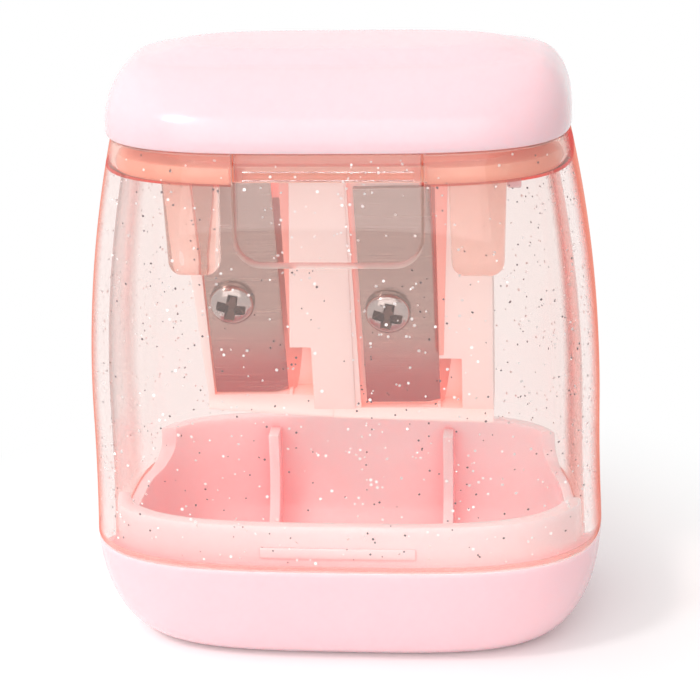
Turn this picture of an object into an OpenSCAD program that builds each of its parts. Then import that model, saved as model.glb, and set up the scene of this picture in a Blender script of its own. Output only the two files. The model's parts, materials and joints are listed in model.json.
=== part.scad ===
// Double-hole pencil sharpener with a clear shavings container, a plug-in base tray and a hinged lid.
// X runs to the right, the front faces -Y, Z is up, and the origin is the middle of the foot.

/* [Overall] */
// Width at the seam between the tray and the clear body
width = 53; // [51:0.5:60]
// Depth at that seam
depth = 35; // [34:0.5:38]
// Height from the foot to the top of the lid
height = 62; // [60.5:0.5:70]
// Exponent of the rounded plan outline, where 2 is an ellipse
plan_power = 3.5; // [2.8:0.1:4]

/* [Base tray] */
// Height of the tray below the seam
tray_h = 11.6; // [10.1:0.5:14.1]
// How far the foot is set in from the seam at the sides
foot_inset_x = 6.6; // [5:0.2:10]
// How far the foot is set in from the seam at the front and back
foot_inset_y = 6; // [4.5:0.5:8]
// Wall of the tray at its floor, from where it thickens up to the skirt
tray_wall = 1.6; // [1.2:0.1:2]
// Height of the skirt above the seam
skirt_h = 4.4; // [4:0.1:6]
// Running gap between the skirt and the clear body
skirt_gap = 0.2; // [0.15:0.05:0.3]
// Thickness of the skirt
skirt_wall = 1.3; // [1:0.1:1.6]
// Length of the snap bead on the front of the skirt
bead_l = 15.6; // [10:0.2:18]
// Distance of each inner fin from the middle
fin_x = 9.8; // [7:0.1:12]

/* [Clear body] */
// How much narrower the body is at its top edge, on its left and right
body_taper_x = 3.5; // [2:0.1:3.8]
// How much shallower it is there, at its front and back
body_taper_y = 2.4; // [1.5:0.1:3]
// Flare of the lowest part of the body, on each side
body_flare = 0.3; // [0.2:0.1:0.6]
// Wall of the clear body
body_wall = 1.6; // [1.4:0.1:1.9]
// Wall of its rim, above the ledge
rim_wall = 0.9; // [0.8:0.1:1]
// Height of the rim above the ledge
rim_h = 3.1; // [2.6:0.1:3.4]

/* [Tongue] */
// Width of the U-shaped cut in the front wall
tongue_w = 18.4; // [15:0.2:19]
// Depth of the cut below the rim
tongue_h = 10.8; // [9:0.1:12]
// Corner radius of the cut
tongue_r = 2.8; // [1.5:0.1:4]
// Gap around the tongue
tongue_gap = 0.3; // [0.2:0.05:0.4]
// Thickness of the tongue
tongue_t = 1.2; // [1:0.1:1.3]

/* [Head] */
// Thickness of the deck plate
deck_t = 1.6; // [1.4:0.1:2]
// Distance of each hanging post from the middle
post_x = 14; // [13.5:0.1:15]
// Width of a post at its root
post_w = 5.6; // [4.6:0.1:5.8]
// Depth of a post, front to back
post_d = 3.4; // [3:0.1:3.4]
// Length of a post
post_l = 10.5; // [8:0.5:12]
// Radius of the pencil bore for 8 mm pencils
bore_small_r = 4.1; // [3.9:0.05:4.3]
// Radius of the pencil bore for 11 mm pencils
bore_large_r = 5.4; // [5.2:0.05:5.6]
// Half angle of the sharpened point
cone_angle = 11.5; // [11:0.1:12.5]
// Side distance of the small bore's axis, to the left of the middle
bore_small_x = 6.5; // [6.2:0.1:6.8]
// Side distance of the large bore's axis, to the right of the middle
bore_large_x = 9.1; // [8.8:0.1:9.3]

/* [Blades] */
// Length of a blade
blade_l = 25; // [23.4:0.1:25.4]
// Width of a blade
blade_w = 7.7; // [7.4:0.1:8.1]
// Thickness of a blade
blade_t = 0.6; // [0.5:0.05:0.8]
// Turn of a blade in its own plane
blade_skew = 1; // [0:0.1:2]
// Radius of a screw head
screw_head_r = 2.35; // [2:0.05:2.5]
// Radius of a screw shank
screw_r = 1.2; // [1:0.05:1.3]

/* [Lid] */
// Wall of the lid
lid_wall = 1.6; // [1.2:0.1:1.8]
// How far the lid's upper edge curves in at the sides
lid_round_x = 3.4; // [3:0.1:6]
// How far it curves in at the front and back
lid_round_y = 8; // [5:0.1:8.4]
// Radius of the hinge barrel
hinge_r = 1.3; // [1.2:0.05:1.4]
// Radius of the hinge's stub pins
pin_r = 0.7; // [0.6:0.05:0.8]
// Running gap of the stub pins in their ears
pin_gap = 0.05; // [0.03:0.01:0.08]

/* [Hidden] */
$fn = 48;
eps = 0.01;
root = 0.2;
plan_steps = 48;

half_w = width / 2;
half_d = depth / 2;
lid_gap = 0.2;
lid_h = 7.8;
lid_low = height - lid_h;
seam_gap = 0.1;
body_low = tray_h + seam_gap;
body_top = lid_low - lid_gap;
waist_rise = 13;
waist_z = tray_h + waist_rise;
ledge_z = body_top - rim_h;
deck_top = ledge_z + deck_t;

// How far the body's outside stands in from the seam's outline at height z, for a given taper
function inset_at(z, taper) = z > waist_z
    ? body_flare + taper * pow((z - waist_z) / (body_top - waist_z), 2)
    : body_flare * (1 - pow((waist_z - z) / (waist_z - body_low), 2));

function inset_x(z) = inset_at(z, body_taper_x);
function inset_y(z) = inset_at(z, body_taper_y);

// Plan outline of half sizes a and b
function plan(a, b) = [for (i = [0:plan_steps - 1])
    let (t = 360 * (i + 0.5) / plan_steps, c = cos(t), s = sin(t))
    [a * sign(c) * pow(abs(c), 2 / plan_power), b * sign(s) * pow(abs(s), 2 / plan_power)]];

// A ring of the outline, inset from the seam's outline by in_x and in_y
function ring(z, in_x, in_y) = [for (p = plan(half_w - in_x, half_d - in_y)) [p[0], p[1], z]];

// A closed solid through a stack of rings, lowest first
module loft(rings) {
    count = len(rings);
    n = plan_steps;
    points = [for (r = rings) for (p = r) p];
    sides = [for (k = [0:count - 2]) for (i = [0:n - 1])
        let (j = (i + 1) % n)
        [k * n + i, (k + 1) * n + i, (k + 1) * n + j, k * n + j]];
    low = [[for (i = [0:n - 1]) i]];
    top = [[for (i = [0:n - 1]) count * n - 1 - i]];
    polyhedron(points = points, faces = concat(sides, low, top), convexity = 6);
}

// The body's outline inset by a wall, between two heights
module body_form(wall, low, top, steps = 8) {
    loft([for (k = [0:steps])
        let (z = low + (top - low) * k / steps)
        ring(z, inset_x(z) + wall, inset_y(z) + wall)]);
}

// ---------------------------------------------------------------- base tray

skirt_top = tray_h + skirt_h;
floor_t = 1.8;
tray_draft = 0.2;

// The bowl's outline, from its foot at turn 90 to the seam at turn 0, inset by foot_wall there and by seam_wall here
function bowl_ring(turn, foot_wall, seam_wall, low) =
    let (z = low + (tray_h - low) * (1 - sin(turn)),
        wall = foot_wall + (seam_wall - foot_wall) * z / tray_h + tray_draft * (1 - z / tray_h),
        spread = 1 - cos(turn))
    ring(z, wall + foot_inset_x * spread, wall + foot_inset_y * spread);

module bowl(foot_wall, seam_wall, low) {
    loft([for (turn = [90:-10:0]) bowl_ring(turn, foot_wall, seam_wall, low)]);
}

skirt_in = body_wall + skirt_gap;
skirt_out = skirt_in + skirt_wall;

module skirt_form(wall, low, top) {
    body_form(body_wall + skirt_gap + wall, low, top, 3);
}

window_w = 17.5;
window_r = 2.6;
window_sill = 0.3;
window_z = tray_h + window_sill;
window_back = half_d - 2 * window_r - 2.2;
window_front = window_back - window_w;

// The open side of the skirt, cut right across
module skirt_windows() {
    translate([-width, 0, 0])
        rotate([90, 0, 90])
            linear_extrude(height = 2 * width)
                union() {
                    translate([window_front + window_r, window_z])
                        square([window_back - window_front - 2 * window_r, height]);
                    translate([window_front, window_z + window_r])
                        square([window_back - window_front, height]);
                    for (y = [window_front + window_r, window_back - window_r])
                        translate([y, window_z + window_r])
                            circle(r = window_r);
                }
}

skirt_root = 0.5;
bead_h = 0.7;
bead_rise = 1.5;
bead_z = tray_h + bead_rise;
bead_proud = 0.12;
fin_t = 1.1;
fin_proud = 2.6;
fin_rise = 3;
fin_top = tray_h + fin_rise;

module base_tray() {
    color([1, 0.85, 0.88]) {
        difference() {
            union() {
                bowl(0, 0, 0);
                difference() {
                    skirt_form(0, tray_h - skirt_root, skirt_top);
                    skirt_windows();
                }
            }
            union() {
                bowl(tray_wall, skirt_out, floor_t);
                skirt_form(skirt_wall, tray_h - eps, skirt_top + 1);
            }
        }
        intersection() {
            translate([-bead_l / 2, -half_d, bead_z - bead_h / 2])
                cube([bead_l, half_d, bead_h]);
            difference() {
                skirt_form(-bead_proud, bead_z - bead_h, bead_z + bead_h);
                skirt_form(skirt_wall / 2, bead_z - 2 * bead_h, bead_z + 2 * bead_h);
            }
        }
        tray_fins();
    }
}

// Two upright fins on the bowl's back wall
module tray_fins() {
    fin_back = half_d - skirt_in - skirt_wall / 2;
    fin_in = skirt_out + fin_proud;
    intersection() {
        for (side = [-1, 1])
            translate([side * fin_x - fin_t / 2, 0, floor_t / 2])
                cube([fin_t, fin_back, fin_top - floor_t / 2]);
        difference() {
            union() {
                bowl(tray_wall / 2, skirt_in, floor_t / 2);
                body_form(skirt_in + skirt_wall / 2, tray_h - eps, fin_top + fin_t, 1);
            }
            union() {
                bowl(fin_in, fin_in, floor_t + fin_t);
                body_form(fin_in, tray_h - eps, fin_top + 2 * fin_t, 1);
            }
        }
    }
}

// ---------------------------------------------------------------- clear body

hinge_out = 1.2;
hinge_drop = 0.7;
hinge_y = half_d - inset_y(body_top) + hinge_out;
hinge_z = body_top - hinge_drop;
hinge_room = 0.3;
barrel_half = 8;
ear_gap = 0.2;
ear_t = 2.4;
ear_x = barrel_half + ear_gap;

// The U-shaped prism of the tongue's cut, shrunk by a gap
module tongue_prism(gap) {
    w = tongue_w - 2 * gap;
    low = body_top - tongue_h + gap;
    r = tongue_r - gap;
    translate([0, -half_d / 2, 0])
        rotate([90, 0, 0])
            linear_extrude(height = half_d)
                union() {
                    translate([-w / 2, low + r])
                        square([w, tongue_h + r]);
                    translate([-w / 2 + r, low])
                        square([w - 2 * r, tongue_h]);
                    for (side = [-1, 1])
                        translate([side * (w / 2 - r), low + r])
                            circle(r = r);
                }
}

module hinge_ear(side) {
    x0 = side > 0 ? ear_x : -ear_x - ear_t;
    root_y = half_d - inset_y(body_top) - rim_wall / 2;
    difference() {
        union() {
            translate([x0, hinge_y, hinge_z])
                rotate([0, 90, 0])
                    cylinder(r = hinge_r, h = ear_t);
            translate([x0, root_y, hinge_z - hinge_r])
                cube([ear_t, hinge_y - root_y, hinge_r]);
        }
        translate([x0 - eps, hinge_y, hinge_z])
            rotate([0, 90, 0])
                cylinder(r = pin_r + pin_gap, h = ear_t + 2 * eps);
    }
}

// Room in the rear rim for the lid's hinge barrel
module hinge_notch() {
    translate([-ear_x, hinge_y - 3 * hinge_r, hinge_z - hinge_r - hinge_room])
        cube([2 * ear_x, 6 * hinge_r, rim_h]);
}

module clear_body() {
    color([0.98, 0.85, 0.8, 0.45]) {
        difference() {
            body_form(0, body_low, body_top);
            hinge_notch();
            body_form(body_wall, body_low - eps, ledge_z, 8);
            body_form(rim_wall, ledge_z - eps, body_top + eps, 2);
            tongue_prism(0);
        }
        for (side = [-1, 1])
            hinge_ear(side);
    }
}

// ---------------------------------------------------------------- tongue

web_r = 0.5;
web_sunk = 0.3;
web_end = 1;
tongue_pivot_z = ledge_z + deck_t / 2;
tongue_pivot_y = -(half_d - inset_y(tongue_pivot_z) - tongue_t - web_r + web_sunk);

module release_tongue() {
    color([1, 0.8, 0.74, 0.5]) {
        intersection() {
            difference() {
                body_form(0, body_low, body_top);
                body_form(tongue_t, body_low - seam_gap, body_top + lid_gap);
            }
            tongue_prism(tongue_gap);
        }
        translate([-tongue_w / 2 + web_end, tongue_pivot_y, tongue_pivot_z])
            rotate([0, 90, 0])
                cylinder(r = web_r, h = tongue_w - 2 * web_end);
    }
}

// ---------------------------------------------------------------- sharpener block

margin_left = 5.6;
margin_right = 0.8;
side_draft = 2.9;
web_t = 1;
block_left = -(bore_small_x + bore_small_r + margin_left);
block_split = -bore_small_x + bore_small_r + web_t;
block_right = bore_large_x + bore_large_r + margin_right;
block_back = 7.6;
block_top = ledge_z;
tip_r = 0.9;
tip_small_room = 1.7;
tip_large_room = 2.7;
bore_small_y = 1.2;
bore_large_y = 0.4;

// One bore: side position, depth position, radius and height of its tip
small = [-bore_small_x, bore_small_y, bore_small_r, block_top - blade_l - tip_small_room];
large = [bore_large_x, bore_large_y, bore_large_r, block_top - blade_l - tip_large_room];

seat_depth = 0.9;
seat_gap = 0.15;
lip_drop = 1.3;
lip_proud = 0.6;
slot_in = 0.9;
slot_w = 1.55;
slot_depth = 1.3;
slot_low = 0.6;
notch_w = 2.3;
notch_h = 6;
notch_depth = 1.1;
notch_low = 0.3;
screw_rise = 11.4;
screw_side = 1.15;
screw_l = 5;
screw_room = 0.6;
press_gap = 0.03;
blade_low = 0.4;
cut_reach = 3;

// The plane that a blade lies on: origin at the bore's tip, local Z up along the point's front line
module on_seat(bore) {
    translate([bore[0], bore[1] - tip_r, bore[3]])
        rotate([cone_angle, 0, 0])
            children();
}

// The same plane turned by the blade's skew about its screw
module on_blade(bore) {
    on_seat(bore)
        translate([screw_x, 0, screw_rise])
            rotate([0, -blade_skew, 0])
                children();
}

screw_x = -blade_w / 2 - screw_side;

module bore_cut(bore) {
    cone_l = (bore[2] - tip_r) / tan(cone_angle);
    translate([bore[0], bore[1], bore[3]]) {
        cylinder(r1 = tip_r, r2 = bore[2], h = cone_l);
        translate([0, 0, -2 * lip_drop])
            cylinder(r = tip_r, h = 2 * lip_drop + eps);
        translate([0, 0, cone_l - eps])
            cylinder(r = bore[2], h = block_top - bore[3] - cone_l + cut_reach);
    }
}

// Half of the block's body: a wedge whose front follows the blade, with a lip below it
module half_block(bore, x0, x1) {
    low = bore[3] - lip_drop;
    slope = tan(cone_angle);
    front = bore[1] - tip_r - seat_depth / cos(cone_angle);
    translate([x0, 0, 0])
        rotate([90, 0, 90])
            linear_extrude(height = x1 - x0)
                polygon([
                    [block_back, low],
                    [front - lip_proud, low],
                    [front - lip_proud, low + lip_drop / 2],
                    [front, low + lip_drop],
                    [front - (block_top - bore[3]) * slope, block_top],
                    [block_back, block_top]]);
}

// The blade's seat, the chip slot beside its edge and the wider notch at the slot's foot
module seat_cuts(bore) {
    cut_l = block_top - bore[3] + 2 * cut_reach;
    on_blade(bore)
        translate([-blade_w / 2 + screw_side - seat_gap, -cut_reach, -screw_rise + blade_low - seat_gap])
            cube([blade_w + 2 * seat_gap, cut_reach, cut_l]);
    on_seat(bore) {
        translate([-slot_in, -cut_reach, slot_low])
            cube([slot_w, cut_reach + slot_depth, cut_l]);
        translate([slot_w - slot_in - eps, -cut_reach, notch_low])
            cube([notch_w, cut_reach + notch_depth, notch_h]);
    }
}

head_pin_r = 1.2;
head_pin_l = 5;
head_pin_room = 0.3;
head_pin_y = block_back - 2 * head_pin_r;
head_pin_x = [block_left + 3 * head_pin_r, block_split + web_t + head_pin_r];

// The wedge taken off the block's left side, from nothing at its top
module left_draft() {
    translate([block_left, -half_d, block_top])
        rotate([0, -side_draft, 0])
            translate([-width, 0, -height])
                cube([width, depth, height + 1]);
}

module sharpener_block() {
    color([1, 0.84, 0.8])
        difference() {
            union() {
                half_block(small, block_left, block_split);
                half_block(large, block_split - eps, block_right);
            }
            left_draft();
            for (bore = [small, large]) {
                bore_cut(bore);
                seat_cuts(bore);
                on_blade(bore)
                    rotate([-90, 0, 0])
                        cylinder(r = screw_r + press_gap, h = screw_l + screw_room);
            }
            for (x = head_pin_x)
                translate([x, head_pin_y, block_top - head_pin_l - head_pin_room])
                    cylinder(r = head_pin_r + press_gap, h = head_pin_l + 2 * head_pin_room);
        }
}

// ---------------------------------------------------------------- blades and screws

edge_w = 1.3;
edge_t = 0.12;
blade_hole_gap = 0.3;

module blade(bore) {
    color([0.72, 0.66, 0.65])
        on_blade(bore)
            difference() {
                translate([-blade_w / 2 + screw_side, -blade_t, -screw_rise + blade_low])
                    cube([blade_w, blade_t, blade_l]);
                rotate([-90, 0, 0])
                    translate([0, 0, -2 * blade_t])
                        cylinder(r = screw_r + blade_hole_gap, h = 3 * blade_t);
                translate([blade_w / 2 + screw_side, -edge_t, -screw_rise])
                    rotate([0, 0, atan((blade_t - edge_t) / edge_w)])
                        translate([-2 * edge_w, -2 * blade_t, 0])
                            cube([3 * edge_w, 2 * blade_t, blade_l + 2 * blade_low]);
            }
}

head_h = 1.5;
head_dome = 3.2;
recess_w = 0.8;
recess_l = 2.9;
recess_d = 1;

module screw(bore) {
    color([0.75, 0.73, 0.72])
        on_blade(bore)
            translate([0, -blade_t, 0])
                rotate([90, 0, 0])
                    difference() {
                        union() {
                            rotate_extrude()
                                intersection() {
                                    square([screw_head_r, head_h]);
                                    translate([0, head_h - head_dome])
                                        circle(r = head_dome);
                                }
                            translate([0, 0, -screw_l - blade_t])
                                cylinder(r = screw_r, h = screw_l + blade_t + root);
                        }
                        for (turn = [35, 125])
                            rotate([0, 0, turn])
                                translate([-recess_l / 2, -recess_w / 2, head_h - recess_d])
                                    cube([recess_l, recess_w, 2 * recess_d]);
                    }
}

// ---------------------------------------------------------------- deck

deck_gap = 0.05;
post_y = -9;
post_round = 1.4;
post_draft = 0.25;
collar_in = 2.7;
collar_t = 1;
collar_h = 2.2;
deck_bore_gap = 0.3;
hook_w = 1.6;
hook_room = 0.3;
hook_x = half_w - inset_x(deck_top) - collar_in - collar_t - 3 * hook_room - hook_w;
hook_back = 4;
hook_front = 2;
hook_swing = 1.9;
hook_reach = 4.9;
hook_lead = 0.7;
hook_low = ledge_z - hook_reach;
tongue_room = 0.3;
web_gap = 0.05;

// A hanging post with rounded edges and a little draft
module deck_post(side) {
    translate([side * post_x, post_y, 0])
        hull()
            for (sx = [-1, 1], sy = [-1, 1])
                translate([sx * (post_w / 2 - post_round), sy * (post_d / 2 - post_round), 0]) {
                    translate([-sx * post_draft, 0, ledge_z - post_l + post_round])
                        sphere(r = post_round, $fn = 20);
                    translate([0, 0, ledge_z])
                        cylinder(r = post_round, h = root, $fn = 20);
                }
}

module head_deck() {
    color([1, 0.68, 0.56, 0.7])
        difference() {
            union() {
                body_form(rim_wall + deck_gap, ledge_z, deck_top, 1);
                difference() {
                    body_form(collar_in, deck_top - root, deck_top + collar_h, 1);
                    body_form(collar_in + collar_t, deck_top - 2 * root, deck_top + collar_h + root, 1);
                }
                for (side = [-1, 1])
                    deck_post(side);
                for (x = head_pin_x)
                    translate([x, head_pin_y, ledge_z - head_pin_l])
                        cylinder(r = head_pin_r, h = head_pin_l + root);
            }
            for (bore = [small, large])
                translate([bore[0], bore[1], ledge_z - deck_t])
                    cylinder(r = bore[2] + deck_bore_gap, h = 3 * deck_t);
            for (side = [-1, 1])
                translate([side * (hook_x + hook_w / 2) - hook_w / 2 - hook_room,
                        hook_front - hook_swing, ledge_z - deck_t])
                    cube([hook_w + 2 * hook_room,
                        hook_back + hook_room - hook_front + hook_swing, 3 * deck_t]);
            translate([-tongue_w / 2 - tongue_room, -half_d, ledge_z - deck_t])
                cube([tongue_w + 2 * tongue_room, half_d + tongue_pivot_y + web_r + web_gap, 3 * deck_t]);
        }
}

// ---------------------------------------------------------------- lid

lid_step = 0.1;
lid_in_x = inset_x(body_top) + lid_step;
lid_in_y = inset_y(body_top) + lid_step;
lid_side_h = 0.6;
lid_crown = 1.1;
lid_flat_x = 5;
lid_flat_y = 3;
arm_rise = 0.3;
arm_t = 1.8;
stub_gap = 0.2;

// A ring of the lid's outside, shrunk by a wall; turn 0 is the side wall and 90 the top
function lid_ring(turn, wall) =
    let (rise = lid_h - lid_crown - wall - lid_side_h)
    ring(lid_low + lid_side_h + rise * sin(turn),
        lid_in_x + wall + lid_round_x * (1 - cos(turn)),
        lid_in_y + wall + lid_round_y * (1 - cos(turn)));

module lid_form(wall, low) {
    top_in_x = lid_in_x + wall + lid_round_x + lid_flat_x;
    top_in_y = lid_in_y + wall + lid_round_y + lid_flat_y;
    loft(concat(
        [ring(low, lid_in_x + wall, lid_in_y + wall)],
        [for (turn = [0:10:90]) lid_ring(turn, wall)],
        [ring(height - wall, top_in_x, top_in_y)]));
}

module lid_hook(side) {
    x0 = side > 0 ? hook_x : -hook_x - hook_w;
    translate([x0, 0, 0])
        rotate([90, 0, 90])
            linear_extrude(height = hook_w)
                polygon([
                    [hook_front, hook_low],
                    [hook_back - hook_lead, hook_low],
                    [hook_back, hook_low + hook_lead],
                    [hook_back, height],
                    [hook_front, height]]);
}

module lid() {
    arm_y = half_d - lid_in_y - lid_wall / 2;
    stub_x = ear_x + ear_t - stub_gap;
    color([1, 0.86, 0.89]) {
        difference() {
            lid_form(0, lid_low);
            lid_form(lid_wall, lid_low - lid_gap);
        }
        intersection() {
            for (side = [-1, 1])
                lid_hook(side);
            union() {
                lid_form(lid_wall / 2, lid_low);
                translate([-width, -half_d, 0])
                    cube([2 * width, depth, lid_low + lid_side_h]);
            }
        }
        translate([-barrel_half, hinge_y, hinge_z])
            rotate([0, 90, 0])
                cylinder(r = hinge_r, h = 2 * barrel_half);
        translate([-stub_x, hinge_y, hinge_z])
            rotate([0, 90, 0])
                cylinder(r = pin_r, h = 2 * stub_x);
        translate([-barrel_half, arm_y, hinge_z + arm_rise])
            cube([2 * barrel_half, hinge_y - arm_y, arm_t]);
    }
}

base_tray();
clear_body();
head_deck();
release_tongue();
sharpener_block();
blade(small);  // blade_small
blade(large);  // blade_large
screw(small);  // screw_small
screw(large);  // screw_large
lid();
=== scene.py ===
import json
import math
import random

import bmesh
import bpy
from mathutils import Matrix, Vector


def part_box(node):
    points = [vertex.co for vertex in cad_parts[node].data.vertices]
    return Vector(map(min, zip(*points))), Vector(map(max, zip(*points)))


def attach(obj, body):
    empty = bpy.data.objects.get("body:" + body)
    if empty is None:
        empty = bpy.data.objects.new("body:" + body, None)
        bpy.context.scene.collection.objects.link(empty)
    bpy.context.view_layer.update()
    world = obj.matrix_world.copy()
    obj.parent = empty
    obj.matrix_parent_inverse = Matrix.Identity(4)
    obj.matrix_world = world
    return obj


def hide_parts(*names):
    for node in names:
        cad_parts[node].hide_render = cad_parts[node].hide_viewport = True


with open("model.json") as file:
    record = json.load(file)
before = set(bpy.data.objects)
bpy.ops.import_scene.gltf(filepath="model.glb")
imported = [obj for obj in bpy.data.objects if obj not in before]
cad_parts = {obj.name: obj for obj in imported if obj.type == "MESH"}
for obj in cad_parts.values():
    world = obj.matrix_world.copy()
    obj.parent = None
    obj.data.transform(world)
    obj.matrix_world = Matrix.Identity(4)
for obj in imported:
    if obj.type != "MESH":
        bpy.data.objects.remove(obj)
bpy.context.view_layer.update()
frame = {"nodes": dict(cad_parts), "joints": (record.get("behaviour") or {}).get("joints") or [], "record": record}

# ---------------------------------------------------------------- measures, in metres

MM = 0.001
SEGMENTS = 192
PLAN_POWER = 3.5
EDGE_MIDDLE = 0.3  # where the middle ring of a rounded edge lies, as a share of its width


def low(node):
    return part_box(node)[0]


def high(node):
    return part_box(node)[1]


def joint_place(name):
    return Vector(next(joint for joint in frame["joints"] if joint["name"] == name)["pos_m"])


half_w = high("base_tray").x
half_d = high("base_tray").y

foot_inset_x = 6.6 * MM
foot_inset_y = 6 * MM
tray_wall = 1.6 * MM
tray_floor = 1.8 * MM
foot_tuck = 0.2 * MM
skirt_h = 4.4 * MM
skirt_wall = 1.3 * MM
skirt_in = 1.8 * MM
seam = low("clear_body").z
tray_h = seam - 0.1 * MM
skirt_top = tray_h + skirt_h

body_taper_x = 3.5 * MM
body_taper_y = 2.4 * MM
body_flare = 0.3 * MM
body_wall = 1.6 * MM
rim_wall = 0.9 * MM
waist = tray_h + 13 * MM
lid_top = high("lid").z
lid_h = 7.8 * MM
lid_low = lid_top - lid_h
lid_proud = 0.5 * MM
lid_wall = 1.6 * MM
hook_in, hook_out = 16.85 * MM, 18.45 * MM
hook_front, hook_back = 2 * MM, 4 * MM
hook_gap = 0.3 * MM
body_top = lid_low - 0.2 * MM
ledge = high("sharpener_block").z
deck_t = 1.6 * MM
deck_top = ledge + deck_t
collar_top = high("head_deck").z

tongue_half = high("release_tongue").x
tongue_low = low("release_tongue").z
tongue_gap = 0.3 * MM
tongue_t = 1.2 * MM
tongue_r = 2.5 * MM
tongue_pivot = joint_place("tongue_press")

barrel_half = 8 * MM
hinge_r = 1.3 * MM
pin_r = 0.7 * MM
ear_w = 2.4 * MM
hinge_gap = 0.2 * MM
lid_pivot = joint_place("lid_hinge")
ear_y = high("lid").y - hinge_r
ear_z = body_top - 0.7 * MM

bores = [mount for mount in frame["record"]["mounts"] if mount["kind"] == "bore"]
block_split = -1.4 * MM
face_start = 23.2 * MM
lean = math.radians(11.5)
seat_shift = {"small": Vector((0, 0, 0)), "large": Vector((0.45, -0.07, 0.35)) * MM}


# ---------------------------------------------------------------- outlines and lofts

def even_turns(a, b, count):
    """Turns round a plan outline that space its points evenly along it."""
    steps = 4000
    turns = [2 * math.pi * i / steps for i in range(steps + 1)]
    points = [plan_point(a, b, t) for t in turns]
    along = [0.0]
    for p, q in zip(points, points[1:]):
        along.append(along[-1] + (q - p).length)
    chosen, k = [], 0
    for i in range(count):
        goal = along[-1] * i / count
        while along[k + 1] < goal:
            k += 1
        part = (goal - along[k]) / (along[k + 1] - along[k])
        chosen.append(turns[k] + part * (turns[k + 1] - turns[k]))
    return chosen


def plan_point(a, b, turn, z=0.0):
    c, s = math.cos(turn), math.sin(turn)
    power = 2 / PLAN_POWER
    return Vector((
        a * math.copysign(abs(c) ** power, c),
        b * math.copysign(abs(s) ** power, s),
        z,
    ))


TURNS = even_turns(half_w, half_d, SEGMENTS)


def ring(z, in_x, in_y):
    """The plan outline at height z, inset at the sides and at the front and back."""
    return [plan_point(half_w - in_x, half_d - in_y, t, z) for t in TURNS]


def inset(z, taper):
    """How far the clear body's outside stands in from the seam's outline."""
    if z > waist:
        return body_flare + taper * ((z - waist) / (body_top - waist)) ** 2
    return body_flare * (1 - ((waist - z) / (waist - seam)) ** 2)


def body_ring(z, wall):
    return ring(z, inset(z, body_taper_x) + wall, inset(z, body_taper_y) + wall)


def heights(start, end, count):
    return [start + (end - start) * i / count for i in range(count + 1)]


def new_piece(bm, name):
    bmesh.ops.recalc_face_normals(bm, faces=bm.faces)
    mesh = bpy.data.meshes.new(name)
    bm.to_mesh(mesh)
    bm.free()
    piece = bpy.data.objects.new(name, mesh)
    bpy.context.scene.collection.objects.link(piece)
    return piece


def loft(name, rings, closed=False):
    """A solid through rings of points. A closed one joins its last ring to its first, any other is capped."""
    bm = bmesh.new()
    row = bmesh.ops.create_circle(bm, segments=len(rings[0]), radius=1)["verts"]
    set_row(row, rings[0])
    first_edges = edges = list(bm.edges)
    if not closed:
        bmesh.ops.contextual_create(bm, geom=edges)
    for points in rings[1:]:
        made = bmesh.ops.extrude_edge_only(bm, edges=edges)["geom"]
        fresh = {g for g in made if isinstance(g, bmesh.types.BMVert)}
        edges = [g for g in made if isinstance(g, bmesh.types.BMEdge)
                 and g.verts[0] in fresh and g.verts[1] in fresh]
        row = [next(e.other_vert(v) for e in v.link_edges if e.other_vert(v) in fresh) for v in row]
        set_row(row, points)
    if closed:
        bmesh.ops.bridge_loops(bm, edges=first_edges + edges)
    else:
        bmesh.ops.contextual_create(bm, geom=edges)
    return new_piece(bm, name)


def set_row(row, points):
    for v, p in zip(row, points):
        v.co = p


def cut(piece, tool, operation="DIFFERENCE"):
    """Cuts piece with tool, or joins them, and drops the tool."""
    modifier = piece.modifiers.new("cut", "BOOLEAN")
    modifier.operation = operation
    modifier.solver = "EXACT"
    modifier.object = tool
    bake(piece)
    bpy.data.objects.remove(tool)
    return piece


def bake(piece):
    """Applies the modifiers of a piece to its mesh."""
    depsgraph = bpy.context.evaluated_depsgraph_get()
    mesh = bpy.data.meshes.new_from_object(piece.evaluated_get(depsgraph))
    piece.modifiers.clear()
    piece.data = mesh


def soften(piece, width, segments=3, angle=40):
    """Rounds the edges that are sharper than an angle."""
    modifier = piece.modifiers.new("soft edges", "BEVEL")
    modifier.width = width
    modifier.segments = segments
    modifier.limit_method = "ANGLE"
    modifier.angle_limit = math.radians(angle)
    modifier.miter_outer = "MITER_ARC"
    modifier.use_clamp_overlap = True
    bake(piece)
    return piece


def smooth(piece, angle=35, flat_faces=False):
    """Shades a piece smooth, and keeps its large faces flat where that is asked for."""
    piece.data.shade_smooth()
    piece.data.set_sharp_from_angle(angle=math.radians(angle))
    if flat_faces:
        modifier = piece.modifiers.new("flat faces", "WEIGHTED_NORMAL")
        modifier.weight = 100
        modifier.keep_sharp = True
        bake(piece)
    return piece


def box_piece(name, corner, opposite):
    bm = bmesh.new()
    bmesh.ops.create_cube(bm, size=1)
    size = Vector(opposite) - Vector(corner)
    middle = (Vector(opposite) + Vector(corner)) / 2
    bmesh.ops.transform(bm, verts=bm.verts, matrix=Matrix.Translation(middle) @ Matrix.Diagonal((*size, 1)))
    return new_piece(bm, name)


def rod(name, start, end, radius, segments=64):
    """A round bar between two points."""
    start, end = Vector(start), Vector(end)
    along = end - start
    bm = bmesh.new()
    bmesh.ops.create_cone(bm, cap_ends=True, segments=segments, radius1=radius, radius2=radius,
                          depth=along.length)
    turn = Vector((0, 0, 1)).rotation_difference(along).to_matrix().to_4x4()
    bmesh.ops.transform(bm, verts=bm.verts, matrix=Matrix.Translation((start + end) / 2) @ turn)
    return new_piece(bm, name)


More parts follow.
